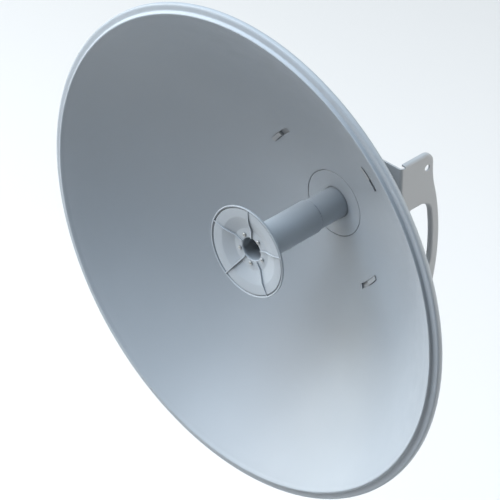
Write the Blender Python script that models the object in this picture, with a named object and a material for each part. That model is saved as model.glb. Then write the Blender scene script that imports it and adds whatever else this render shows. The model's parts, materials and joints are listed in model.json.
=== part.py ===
"""Point-to-point dish antenna: reflector, axial feed, rear bracket and adjustable side pole mount.

Frame: +Z is up, the pole's axis is the Z axis, and the dish looks along -Y.
All sizes below are millimetres and are turned into metres where a mesh is made.
"""
import math

import bmesh
import bpy
from mathutils import Matrix, Vector

MM = 0.001
GAP = 0.3                      # clearance between touching pieces

# Reflector (dish frame: origin at the centre of the rim plane, y grows towards the back)
RIM_R = 325.0                  # outside radius of the rolled rim
BOWL_DEPTH = 157.5             # rim plane to the vertex of the parabola
BOWL_K = 588.0                 # four focal lengths, y = depth - r^2 / K
SHEET = 2.0                    # reflector sheet
BOWL_EDGE_R = 308.0            # where the parabola ends and the raised bead starts
BOWL_SPLIT_R = 168.0           # the one sheet is made as two nodes that meet here
ROLL_C, ROLL_R, ROLL_Y = 321.4, 3.6, 4.4
HUB_HOLE_R = 44.2              # hole in the middle of the bowl
SLOT_R, SLOT_WID, SLOT_HALF = 105.5, 6.6, 8.1      # radius, radial width, half length in degrees
SLOT_ANGLES = (45.0, 135.0, 225.0, 315.0)

# Feed
SUB_R = 61.0                   # sub-reflector rim
SUB_HUB_R = 27.5
WG_BORE_R, WG_R = 15.5, 17.6
SLEEVE_R, SLEEVE_BORE_R = 21.9, 18.0
SLEEVE_Y = (15.3, 112.0)
COLLAR_R = 20.2
COLLAR_Y = (113.7, 163.0)
RIBS = 5
RIB_START = 17.0               # angle of the first rib, degrees from +X towards +Z
RIB_T = 1.8
SUB_SCREW_R = 19.7             # pitch radius of the sub-reflector screws
HOUSING_HALF = 32.0
HOUSING_Y = (161.0, 196.0)
FLANGE_R, FLANGE_T = 46.0, 4.0
FLANGE_PITCH = 40.0
WG_FRONT, WG_END = 46.0, 190.0
PORT_Y = 181.0                 # where the probes and connectors sit
COVER_T = 3.5
COVER_SINK = 2.1               # depth of the sinks that hold the cover screws' heads
COVER_HEAD_R = 2.8
JACK_R, JACK_OUT = 3.2, 12.0   # coaxial connectors on the housing

# Dish bracket
PAN_GAP = 0.4                  # between the bowl's back and the bracket's seat
PLATE = 2.5                    # bracket sheet
CHEEK_X = 131.0                # outer face of a cheek
CHEEK_TURN = 7.0               # how far its turned edges reach inwards
PAN_Y = 133.6                  # front face of the bracket's flat corners
PAN_Z = 117.0                  # half height of the flat part
PAN_HOLE_R = 34.0
PAN_EDGE_X, PAN_EDGE = 64.0, 16.0                # reach of its turned top and bottom edges
RELIEF_R = 2.0                 # notches where the cheeks' turned edges end
CHEEK_TOP = 119.0
CHEEK_REAR = 191.0
CHEEK_BULGE = 202.6            # rearmost point of the curved handle strip
BULGE_Z = 80.0                 # where the curve meets the straight rear edge
STRIP = 13.7                   # width of the handle strip
WINDOW_Z = 50.0
WINDOW_FRONT = 146.0
WINDOW_CORNERS = (9.0, 18.0)    # radius at the front and at the rear
CHEEK_HOLE = (179.0, 99.7)     # y and z of the bolt holes, mirrored below
CHEEK_HOLE_R = 4.3

# Pole mount (world frame)
POLE_R = 25.4
V_DEPTH = 25.0
V_WALL = 5.0
BACK_PLATE = 6.0
SADDLE_Z = 60.0
SADDLE_Y = 56.0
JAW_Z = (25.0, 58.0)
CLAMP_Y, CLAMP_Z = 45.0, 41.5
CLAMP_R = 4.9
CLAMP_END = -84.0
LOCK_R = 3.9
AZ_X = 59.0                    # azimuth pivot, on the x axis
YOKE_X = (97.4, 101.4)
YOKE_HALF_Y, YOKE_HALF_Z = 44.0, 58.0
YOKE_LUG_Z = (20.0, 24.0)
SADDLE_LUG_Z = (24.3, 28.3)
AZ_LOCK_R = 21.0
AZ_SWING = 15.0
EL_Z = -42.0                   # height of the elevation pivot, whose y is 0
EL_LOCK_R = 84.0
EL_SWING = 20.0
SIDE_X = (101.7, 105.7)
SIDE_FRONT, SIDE_WAIST = -66.0, -42.0     # front edge of its two arms, and between them
DISH = Vector((237.0, -232.0, 0.0))      # dish frame's origin in the world

SEGMENTS = 48                  # round the bowl
FINE, COARSE = 28, 12          # round tubes and bolts


def clear_scene():
    for item in list(bpy.data.objects):
        bpy.data.objects.remove(item, do_unlink=True)


def material(name, colour, roughness, metallic):
    mat = bpy.data.materials.new(name)
    mat.use_nodes = True
    shader = mat.node_tree.nodes["Principled BSDF"]
    shader.inputs["Base Color"].default_value = (*colour, 1.0)
    shader.inputs["Roughness"].default_value = roughness
    shader.inputs["Metallic"].default_value = metallic
    return mat


def empty(name, place, parent=None):
    """A joint's or a frame's origin; place is in world millimetres."""
    obj = bpy.data.objects.new(name, None)
    bpy.context.scene.collection.objects.link(obj)
    base = Vector(parent["world_mm"]) if parent else Vector((0, 0, 0))
    obj["world_mm"] = list(place)
    obj.location = (Vector(place) - base) * MM
    obj.parent = parent
    return obj


def from_bmesh(name, bm):
    bmesh.ops.recalc_face_normals(bm, faces=bm.faces)
    bmesh.ops.scale(bm, vec=(MM, MM, MM), verts=bm.verts)
    mesh = bpy.data.meshes.new(name)
    bm.to_mesh(mesh)
    bm.free()
    obj = bpy.data.objects.new(name, mesh)
    bpy.context.scene.collection.objects.link(obj)
    return obj


def turned(name, loop, steps=FINE):
    """(radius, y) profile turned about the Y axis; it may start and end on the axis."""
    bm = bmesh.new()
    verts = [bm.verts.new((r, y, 0)) for r, y in loop]
    on_axis = loop[0][0] == 0 and loop[-1][0] == 0
    edges = [bm.edges.new((verts[i - 1], verts[i])) for i in range(1 if on_axis else 0, len(verts))]
    bmesh.ops.spin(bm, geom=verts + edges, cent=(0, 0, 0), axis=(0, 1, 0), angle=math.tau,
                   steps=steps)
    bmesh.ops.remove_doubles(bm, verts=bm.verts, dist=1e-3)
    return from_bmesh(name, bm)


def sector(name, loop, start, stop, steps=6):
    """(radius, y) loop swept round the Y axis from start to stop degrees, +X towards +Z."""
    bm = bmesh.new()
    face = bm.faces.new([bm.verts.new((r, y, 0)) for r, y in loop])
    begin = Matrix.Rotation(math.radians(start), 4, (0, -1, 0))
    bmesh.ops.transform(bm, matrix=begin, verts=bm.verts)
    bmesh.ops.spin(bm, geom=[face], cent=(0, 0, 0), axis=(0, -1, 0), steps=steps,
                   angle=math.radians(stop - start))
    return from_bmesh(name, bm)


def prism(name, outline, axis, low, high):
    """Outline extruded along X, Y or Z; its points are the two other coordinates in order."""
    bm = bmesh.new()
    index = "xyz".index(axis)

    def at(point, depth):
        spot = list(point)
        spot.insert(index, depth)
        return spot

    face = bm.faces.new([bm.verts.new(at(p, low)) for p in outline])
    grown = bmesh.ops.extrude_face_region(bm, geom=[face])
    moved = [v for v in grown["geom"] if isinstance(v, bmesh.types.BMVert)]
    bmesh.ops.translate(bm, verts=moved, vec=at((0, 0), high - low))
    return from_bmesh(name, bm)


def block(name, low, high):
    outline = [(low[1], low[2]), (high[1], low[2]), (high[1], high[2]), (low[1], high[2])]
    return prism(name, outline, "x", low[0], high[0])


def arc(centre, radius, start, stop, steps):
    """Points on a circle from start to stop degrees."""
    angles = [math.radians(start + (stop - start) * i / steps) for i in range(steps + 1)]
    return [(centre[0] + radius * math.cos(a), centre[1] + radius * math.sin(a)) for a in angles]


def rod(name, start, axis, radius, length, steps=COARSE):
    """Solid round bar from start along a unit axis."""
    bm = bmesh.new()
    turn = Vector((0, 0, 1)).rotation_difference(Vector(axis)).to_matrix().to_4x4()
    centre = Vector(start) + Vector(axis) * length / 2
    bmesh.ops.create_cone(bm, cap_ends=True, segments=steps, radius1=radius, radius2=radius,
                          depth=length, matrix=Matrix.Translation(centre) @ turn)
    return from_bmesh(name, bm)


def combine(target, tools, operation):
    """Boolean the tools into the target, apply the result and remove the tools."""
    for tool in tools:
        modifier = target.modifiers.new("combine", "BOOLEAN")
        modifier.operation = operation
        modifier.object = tool
    graph = bpy.context.evaluated_depsgraph_get()
    result = bpy.data.meshes.new_from_object(target.evaluated_get(graph))
    target.modifiers.clear()
    target.data = result
    for tool in tools:
        bpy.data.objects.remove(tool, do_unlink=True)
    return target


def cut(target, *tools):
    return combine(target, tools, "DIFFERENCE")


def join(target, *tools):
    return combine(target, tools, "UNION")


def place(obj, name, mat, parent, turn=None):
    """Name a finished piece, give it its material and hang it on its parent."""
    obj.name = name
    obj.data.name = name
    obj.data.materials.clear()
    obj.data.materials.append(mat)
    obj.data.shade_smooth()
    obj.data.set_sharp_from_angle(angle=math.radians(35))
    if turn:
        obj.data.transform(turn)
    obj.parent = parent
    return obj


def bolt(name, mat, parent, start, axis, radius, length, head=None):
    """Hex bolt: start is under the head, and the shank runs along axis."""
    across, high = head or (radius * 1.75, radius * 1.3)
    axis = Vector(axis)
    shank = rod(name, start, axis, radius, length)
    cap = rod("head", Vector(start) - axis * high, axis, across, high + 0.2, 6)
    return place(join(shank, cap), name, mat, parent)


def nut(name, mat, parent, start, axis, radius):
    """Hex nut whose near face is at start; its bore clears the shank."""
    high = radius * 1.6
    axis = Vector(axis)
    body = rod(name, start, axis, radius * 1.75, high, 6)
    bore = rod("bore", Vector(start) - axis, axis, radius + GAP, high + 2)
    return place(cut(body, bore), name, mat, parent)


# Reflector -----------------------------------------------------------------------------

def bowl_point(r, offset=0.0):
    """Point of the bowl's front surface at radius r, moved out of its back by offset."""
    slope = 2 * r / BOWL_K
    size = math.hypot(slope, 1)
    return (r + offset * slope / size, BOWL_DEPTH - r * r / BOWL_K + offset / size)


def over_bowl(r, offset):
    """Point at radius r exactly, at a distance offset behind the bowl's front surface."""
    return (r, BOWL_DEPTH - r * r / BOWL_K + offset * math.hypot(2 * r / BOWL_K, 1))


def bowl_run(start, stop, steps, offset=0.0):
    return [bowl_point(start + (stop - start) * i / steps, offset) for i in range(steps + 1)]


def reflector(mat, parent):
    """Outer part of the bowl and its rolled rim."""
    inner = bowl_run(BOWL_SPLIT_R + GAP, BOWL_EDGE_R, 6)
    bead = [(310.2, -7.4), (311.5, -9.1), (312.8, -9.7), (314.1, -9.0), (315.4, -7.0), (317.2, -5.2)]
    roll = [(ROLL_C + ROLL_R * x, ROLL_Y * y) for x, y in arc((0, 0), 1, -120, 150, 7)]
    outer = bowl_run(307.0, BOWL_SPLIT_R + GAP, 5, SHEET)
    return place(turned("reflector", inner + bead + roll + outer, SEGMENTS), "reflector", mat, parent)


def reflector_centre(mat, parent):
    """Middle of the bowl, with the hole for the hub and the bayonet slots."""
    inner = bowl_run(HUB_HOLE_R, BOWL_SPLIT_R, 5)
    outer = bowl_run(BOWL_SPLIT_R, HUB_HOLE_R, 5, SHEET)
    outer[-1] = (HUB_HOLE_R, outer[-1][1])
    obj = turned("centre", inner + outer, SEGMENTS)
    low, high = SLOT_R - SLOT_WID / 2, SLOT_R + SLOT_WID / 2
    section = [(low, 130), (high, 130), (high, 155), (low, 155)]
    slots = [sector("slot", section, angle - SLOT_HALF, angle + SLOT_HALF) for angle in SLOT_ANGLES]
    return place(cut(obj, *slots), "reflector_centre", mat, parent)


# Feed ----------------------------------------------------------------------------------

def subreflector(mat, parent):
    hub_front, hub_back = 11.5, 15.0
    front = [(WG_BORE_R, hub_front), (SUB_HUB_R, hub_front), (29.0, 11.0), (42.0, 5.6), (43.5, 5.0),
             (57.0, 4.4), (57.8, 5.2), (58.6, 5.2), (59.2, 3.4), (59.6, 3.0), (60.6, 3.0)]
    back = [(SUB_R, 3.4), (SUB_R, 5.2), (60.0, 6.4), (57.5, 8.2), (46.0, 8.6), (42.0, 9.6),
            (30.0, hub_back), (WG_BORE_R, hub_back)]
    obj = turned("subreflector", front + back, FINE)
    crest = [(16.6, 13.0), (16.6, 9.9), (27.0, 9.7), (41.0, 4.0), (44.0, 3.3), (59.4, 3.1), (59.6, 4.4),
             (57.0, 6.6), (44.0, 7.0), (29.0, 13.0)]
    ribs = []
    for index in range(RIBS):
        rib = prism("rib", crest, "z", -RIB_T / 2, RIB_T / 2)
        rib.data.transform(Matrix.Rotation(-math.radians(RIB_START + index * 360 / RIBS), 4, "Y"))
        ribs.append(rib)
    return place(join(obj, *ribs), "subreflector", mat, parent)


def subreflector_screws(mat, parent):
    for index in range(RIBS):
        a = math.radians(RIB_START + (index + 0.5) * 360 / RIBS)
        x, z = SUB_SCREW_R * math.cos(a), SUB_SCREW_R * math.sin(a)
        screw = turned("screw", [(0, 9.5), (1.8, 9.6), (2.4, 10.2), (2.4, 11.2), (0, 11.2)], 12)
        screw.data.transform(Matrix.Translation((x * MM, 0, z * MM)))
        place(screw, f"subreflector_screw_{index + 1}", mat, parent)


def tube(name, mat, parent, bore, radius, span, chamfer=0.6):
    low, high = span
    loop = [(bore, low), (radius - chamfer, low), (radius, low + chamfer), (radius, high - chamfer),
            (radius - chamfer, high), (bore, high)]
    return place(turned(name, loop), name, mat, parent)


def hub_plate(mat, parent):
    front = bowl_run(COLLAR_R + 0.4, HUB_HOLE_R - 0.6, 3)
    back = [(r, y) for r, y in bowl_run(HUB_HOLE_R - 0.6, COLLAR_R + 0.4, 3, SHEET)]
    back[0] = (HUB_HOLE_R - 0.6, back[0][1])
    back[-1] = (COLLAR_R + 0.4, back[-1][1])
    return place(turned("hub_plate", front + back), "hub_plate", mat, parent)


def feed_housing(mat, parent):
    front, rear = HOUSING_Y
    floor, wall, corner = 170.0, 3.5, 10.0
    half, room = HOUSING_HALF, HOUSING_HALF - 3.5
    body = turned("housing", [(0, front), (FLANGE_R - 0.8, front), (FLANGE_R, front + 0.8),
                              (FLANGE_R, front + FLANGE_T), (0, front + FLANGE_T)])
    shell = block("shell", (-half, front + 1, -half), (half, rear, half))
    body = join(body, shell)
    inside = [(room, room - corner), (room - corner, room), (corner - room, room), (-room, room - corner),
              (-room, corner - room), (corner - room, -room), (room - corner, -room),
              (room, corner - room)]
    cavity = prism("cavity", inside, "y", floor, rear + 1)
    bore = rod("bore", (0, front - 1, 0), (0, 1, 0), WG_R + 0.4, 12, FINE)
    ports = [rod("port", (0, PORT_Y, -room + 2), (0, 0, -1), 3.3, wall + 4),
             rod("port", (-room + 2, PORT_Y, 0), (-1, 0, 0), 3.3, wall + 4)]
    screws = [rod("screw", (x, front - 1, z), (0, 1, 0), 2.8, FLANGE_T + 2) for x, z in flange_points()]
    covers = [rod("screw", (x, rear - 9, z), (0, 1, 0), 1.8, 10) for x, z in cover_points()]
    return place(cut(body, cavity, bore, *ports, *screws, *covers), "feed_housing", mat, parent)


def flange_points():
    return [(FLANGE_PITCH, 0), (0, FLANGE_PITCH), (-FLANGE_PITCH, 0), (0, -FLANGE_PITCH)]


def cover_points():
    c = HOUSING_HALF - 5.0
    return [(c, c), (-c, c), (-c, -c), (c, -c)]


def housing_cover(mat, parent):
    half, low = HOUSING_HALF, HOUSING_Y[1] + GAP
    cover = block("cover", (-half, low, -half), (half, low + COVER_T, half))
    holes = [rod("hole", (x, low - 1, z), (0, 1, 0), 1.8, COVER_T + 2) for x, z in cover_points()]
    sinks = [rod("sink", (x, low + COVER_T - COVER_SINK, z), (0, 1, 0), COVER_HEAD_R + 0.5, COVER_SINK + 1)
             for x, z in cover_points()]
    return place(cut(cover, *holes, *sinks), "housing_cover", mat, parent)


def connector(name, mat, parent, turn):
    """Threaded coaxial jack, made pointing along -Z under the housing and turned into place."""
    wall = HOUSING_HALF + GAP
    root, flange, mouth = HOUSING_HALF - 3.8, wall + 2.4, wall + JACK_OUT
    bore, floor = JACK_R - 0.8, mouth - 5
    loop = [(0, root), (JACK_R - 0.3, root), (JACK_R - 0.3, wall), (5.4, wall), (5.4, flange),
            (JACK_R, flange), (JACK_R, mouth), (bore, mouth), (bore, floor), (0, floor)]
    jack = turned(name, loop, COARSE)
    to_port = Matrix.Translation((0, PORT_Y * MM, 0)) @ turn @ Matrix.Rotation(-math.pi / 2, 4, "X")
    return place(jack, name, mat, parent, to_port)


def probe(name, mat, parent, turn):
    pin = rod(name, (0, 27.9, 0), (0, -1, 0), 0.65, 18.9, 10)
    to_port = Matrix.Translation((0, PORT_Y * MM, 0)) @ turn @ Matrix.Rotation(-math.pi / 2, 4, "X")
    return place(pin, name, mat, parent, to_port)


def waveguide(mat, parent):
    loop = [(0, WG_END - 3), (WG_BORE_R, WG_END - 3), (WG_BORE_R, WG_FRONT), (WG_R, WG_FRONT),
            (WG_R, WG_END), (0, WG_END)]
    tube_body = turned("waveguide", loop)
    holes = [rod("hole", (0, PORT_Y, -WG_BORE_R + 3), (0, 0, -1), 1.3, 8, 12),
             rod("hole", (-WG_BORE_R + 3, PORT_Y, 0), (-1, 0, 0), 1.3, 8, 12)]
    return place(cut(tube_body, *holes), "waveguide", mat, parent)


# Dish bracket --------------------------------------------------------------------------

def seat_end(offset, level):
    """Radius parameter at which the bowl's offset surface reaches y = level."""
    low, high = 0.0, RIM_R
    for _ in range(40):
        middle = (low + high) / 2
        if bowl_point(middle, offset)[1] > level:
            low = middle
        else:
            high = middle
    return low


def pan():
    """Dished plate that seats the bowl, flat at its corners, with turned top and bottom edges."""
    near, far = SHEET + PAN_GAP, SHEET + PAN_GAP + PLATE
    front = bowl_run(PAN_HOLE_R, seat_end(near, PAN_Y), 6, near)
    back = bowl_run(seat_end(far, PAN_Y + PLATE), PAN_HOLE_R, 6, far)
    front[0] = (PAN_HOLE_R, front[0][1])
    back[-1] = (PAN_HOLE_R, back[-1][1])
    beyond = math.hypot(CHEEK_X, PAN_Z) + 20
    plate = turned("pan", front + [(beyond, PAN_Y), (beyond, PAN_Y + PLATE)] + back, SEGMENTS)
    frame = block("frame", (-CHEEK_X, 100, -PAN_Z), (CHEEK_X, 200, PAN_Z))
    plate = combine(plate, [frame], "INTERSECT")
    made = []
    for z in (-PAN_Z, PAN_Z - PLATE):
        edge = block("edge", (-PAN_EDGE_X, PAN_Y + 0.5, z), (PAN_EDGE_X, PAN_Y + PAN_EDGE, z + PLATE))
        made.append(cut(edge, bowl_space(near + 0.5)))
    return join(plate, *made)


def bowl_space(offset):
    """Solid that fills the bowl and its sheet, used to keep a piece clear of the bowl's back."""
    seat = bowl_run(0, 160, 12, offset)
    return turned("space", [(0, 50), (160, 50)] + seat[::-1], SEGMENTS)


def bulge():
    """Centre y and radius of the arc through the handle strip's rear edge."""
    rise = CHEEK_BULGE - CHEEK_REAR
    radius = (BULGE_Z ** 2 + rise ** 2) / (2 * rise)
    return CHEEK_BULGE - radius, radius


def cheek_outline(inset=0.0):
    """Side view of a cheek as (y, z) points, drawn in by inset at its top and rear."""
    centre, radius = bulge()
    radius -= inset
    corner = 15.0
    limit = math.degrees(math.asin((BULGE_Z + inset * 0.15) / radius))
    middle = (CHEEK_REAR - corner, CHEEK_TOP - corner)
    upper = arc(middle, corner - inset, 90, 0, 6)
    rear = arc((centre, 0), radius, limit, -limit, 14)
    lower = [(y, -z) for y, z in reversed(upper)]
    if inset:
        front = [(PAN_Y - 10, CHEEK_TOP - inset)]
    else:
        front = [(PAN_Y, PAN_Z), (PAN_Y + 5.8, PAN_Z), (PAN_Y + 5.8, CHEEK_TOP)]
    return front + upper + rear + lower + [(y, -z) for y, z in reversed(front)]


def window_outline(grow=0.0):
    """D-shaped window in a cheek as (y, z) points, enlarged by grow."""
    centre, radius = bulge()
    radius += grow - STRIP
    top, front = WINDOW_Z + grow, WINDOW_FRONT - grow
    tight, wide = (corner + grow for corner in WINDOW_CORNERS)
    y = centre + math.sqrt((radius - wide) ** 2 - (top - wide) ** 2)
    slant = math.degrees(math.atan2(top - wide, y - centre))
    half = arc((front + tight, top - tight), tight, 180, 90, 5)
    half += arc((y, top - wide), wide, 90, slant, 6)
    rear = arc((centre, 0), radius, slant * 0.9, -slant * 0.9, 10)
    return half + rear + [(y, -z) for y, z in reversed(half)]


def cheek(side):
    """One cheek with its turned edge and the turned lip round its window; side is -1 or 1."""
    def slab(name, outline, low, high):
        return prism(name, outline, "x", side * low, side * high)

    body = slab("cheek", cheek_outline(), CHEEK_X - CHEEK_TURN, CHEEK_X)
    pocket = slab("pocket", cheek_outline(PLATE), CHEEK_X - CHEEK_TURN - 1, CHEEK_X - PLATE)
    island = slab("island", window_outline(2.2), CHEEK_X - CHEEK_TURN - 2, CHEEK_X)
    pocket = cut(pocket, island)
    window = slab("window", window_outline(), CHEEK_X - 30, CHEEK_X + 2)
    y, z = CHEEK_HOLE
    holes = [rod("hole", (side * (CHEEK_X - 9), y, level), (side, 0, 0), CHEEK_HOLE_R, 12)
             for level in (-z, z)]
    reliefs = [rod("relief", (side * (CHEEK_X - 9), PAN_Y + 5.6, level), (side, 0, 0), RELIEF_R, 12)
               for level in (-PAN_Z - 1.2, PAN_Z + 1.2)]
    return cut(body, pocket, window, bowl_space(SHEET + PAN_GAP + 0.2), *holes, *reliefs)


def hooks():
    """Four bayonet hooks that reach through the bowl's slots and lie over its front."""
    low, high = SLOT_R - 2.7, SLOT_R + 2.7
    deep, proud, clear = SHEET + PAN_GAP + 1.2, -1.7, -0.5
    top = [over_bowl(low, proud), over_bowl(high, proud)]
    stem = top + [over_bowl(high, deep), over_bowl(low, deep)]
    lip = top + [over_bowl(high, clear), over_bowl(low, clear)]
    made = []
    for angle in SLOT_ANGLES:
        hook = sector("hook", stem, angle + 0.5, angle + SLOT_HALF - 0.4)
        tip = sector("tip", lip, angle + SLOT_HALF - 0.8, angle + SLOT_HALF + 2.2)
        made.append(join(hook, tip))
    return made


def dish_bracket(mat, parent):
    body = join(pan(), cheek(-1), cheek(1), *hooks())
    screws = [rod("screw", (x, 150, z), (0, 1, 0), 2.8, 20) for x, z in flange_points()]
    return place(cut(body, *screws), "dish_bracket", mat, parent)


# Pole mount ----------------------------------------------------------------------------

def vee_outline(side):
    """Section of a pole clamp half as (x, y): a 90 degree V and a back plate, on the +x or -x side."""
    apex = POLE_R * math.sqrt(2)
    back = apex + V_WALL
    step = V_WALL / math.sqrt(2)
    half = [(apex, 0), (apex - V_DEPTH, V_DEPTH), (apex - V_DEPTH + step, V_DEPTH + step),
            (back, 2 * step - V_WALL), (back, SADDLE_Y), (back + BACK_PLATE, SADDLE_Y)]
    mirrored = [(x, -y) for x, y in reversed(half[1:])]
    return [(side * x, y) for x, y in half + mirrored]


def clamp_holes(levels):
    return [rod("hole", (60, y, z), (-1, 0, 0), CLAMP_R + GAP, 120) for y in (-CLAMP_Y, CLAMP_Y)
            for z in levels]


def saddle(mat, parent):
    body = prism("saddle", vee_outline(1), "z", -SADDLE_Z, SADDLE_Z)
    low, high = SADDLE_LUG_Z
    reach = AZ_LOCK_R + 10.0
    upper = [(46, -17)] + arc((AZ_X, 0), reach, -32, 32, 8) + [(46, 17)]
    lower = [(46, -13)] + arc((AZ_X, 0), 13, -90, 90, 10) + [(46, 13)]
    body = join(body, prism("lug", upper, "z", low, high), prism("lug", lower, "z", -high, -low))
    wide, limit = 4.3, AZ_SWING + 1
    slot = arc((AZ_X, 0), AZ_LOCK_R - wide, -limit, limit, 6)
    slot += arc((AZ_X, 0), AZ_LOCK_R + wide, limit, -limit, 6)
    tools = [prism("slot", slot, "z", low - 1, high + 1)]
    for side in (-1, 1):
        a = math.radians(limit * side)
        spot = (AZ_X + AZ_LOCK_R * math.cos(a), AZ_LOCK_R * math.sin(a), low - 1)
        tools.append(rod("end", spot, (0, 0, 1), wide, high - low + 2, 16))
    tools.append(rod("pivot", (AZ_X, 0, -high - 1), (0, 0, 1), CLAMP_R + GAP, 2 * high + 2))
    return place(cut(body, *tools, *clamp_holes((-CLAMP_Z, CLAMP_Z))), "pole_saddle", mat, parent)


def jaw(name, mat, parent, sign):
    low, high = sorted((sign * JAW_Z[0], sign * JAW_Z[1]))
    body = prism(name, vee_outline(-1), "z", low, high)
    return place(cut(body, *clamp_holes((sign * CLAMP_Z,))), name, mat, parent)


def ring_slot(centre, radius, half_width, middle, limit, low, high):
    """Cutters for an arc slot in a plate parallel to YZ; angles run from +Y towards +Z."""
    y, z = centre
    outline = arc(centre, radius - half_width, middle - limit, middle + limit, 8)
    outline += arc(centre, radius + half_width, middle + limit, middle - limit, 8)
    tools = [prism("slot", outline, "x", low, high)]
    for turn in (-limit, limit):
        a = math.radians(middle + turn)
        spot = (low, y + radius * math.cos(a), z + radius * math.sin(a))
        tools.append(rod("end", spot, (1, 0, 0), half_width, high - low, 16))
    return tools


def yoke(mat, parent):
    half_y, half_z = YOKE_HALF_Y, YOKE_HALF_Z
    corner = 12.0
    outline = []
    for sy, sz, start in ((1, 1, 0), (-1, 1, 90), (-1, -1, 180), (1, -1, 270)):
        outline += arc((sy * (half_y - corner), sz * (half_z - corner)), corner, start, start + 90, 4)
    body = prism("yoke", outline, "x", *YOKE_X)
    root, shoulder = YOKE_X[0] + 1, AZ_X + 19
    lug = [(root, -22), (root, 22), (shoulder, 20)] + arc((AZ_X, 0), 11, 70, 290, 10) + [(shoulder, -20)]
    low, high = YOKE_LUG_Z
    body = join(body, prism("lug", lug, "z", low, high), prism("lug", lug, "z", -high, -low))
    tools = ring_slot((0, EL_Z), EL_LOCK_R, 4.3, 90, EL_SWING + 0.8, YOKE_X[0] - 1, YOKE_X[1] + 1)
    tools.append(rod("pivot", (YOKE_X[0] - 1, 0, EL_Z), (1, 0, 0), CLAMP_R + GAP, 6))
    tools.append(rod("swivel", (AZ_X, 0, -30), (0, 0, 1), CLAMP_R + GAP, 60))
    tools.append(rod("lock", (AZ_X + AZ_LOCK_R, 0, 10), (0, 0, 1), LOCK_R + GAP, 20))
    return place(cut(body, *tools), "azimuth_yoke", mat, parent)


def side_plate(mat, parent):
    low, high = SIDE_X
    y, z = CHEEK_HOLE[0] + DISH.y, CHEEK_HOLE[1]
    top = z + 14.3
    half = [(SIDE_WAIST, 54), (SIDE_FRONT, 84), (SIDE_FRONT, top - 8), (SIDE_FRONT + 8, top),
            (y + 13, top), (14, 56), (16, 50)]
    outline = half + [(y_at, -z_at) for y_at, z_at in reversed(half)]
    body = prism("side_plate", outline, "x", low, high)
    tools = [rod("hole", (low - 1, y, level), (1, 0, 0), CHEEK_HOLE_R, 6) for level in (-z, z)]
    tools.append(rod("pivot", (low - 1, 0, EL_Z), (1, 0, 0), CLAMP_R + GAP, 6))
    tools.append(rod("lock", (low - 1, 0, EL_Z + EL_LOCK_R), (1, 0, 0), LOCK_R + GAP, 6))
    slot = arc((-22, 16), 8, 0, 180, 8) + arc((-22, -16), 8, 180, 360, 8)
    tools.append(prism("window", slot, "x", low - 1, high + 1))
    return place(cut(body, *tools), "side_plate", mat, parent)


# Assembly ------------------------------------------------------------------------------

def shift(obj, base):
    """Move a mesh made in world millimetres into its parent's frame."""
    obj.data.transform(Matrix.Translation(-Vector(base["world_mm"]) * MM))
    return obj


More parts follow.
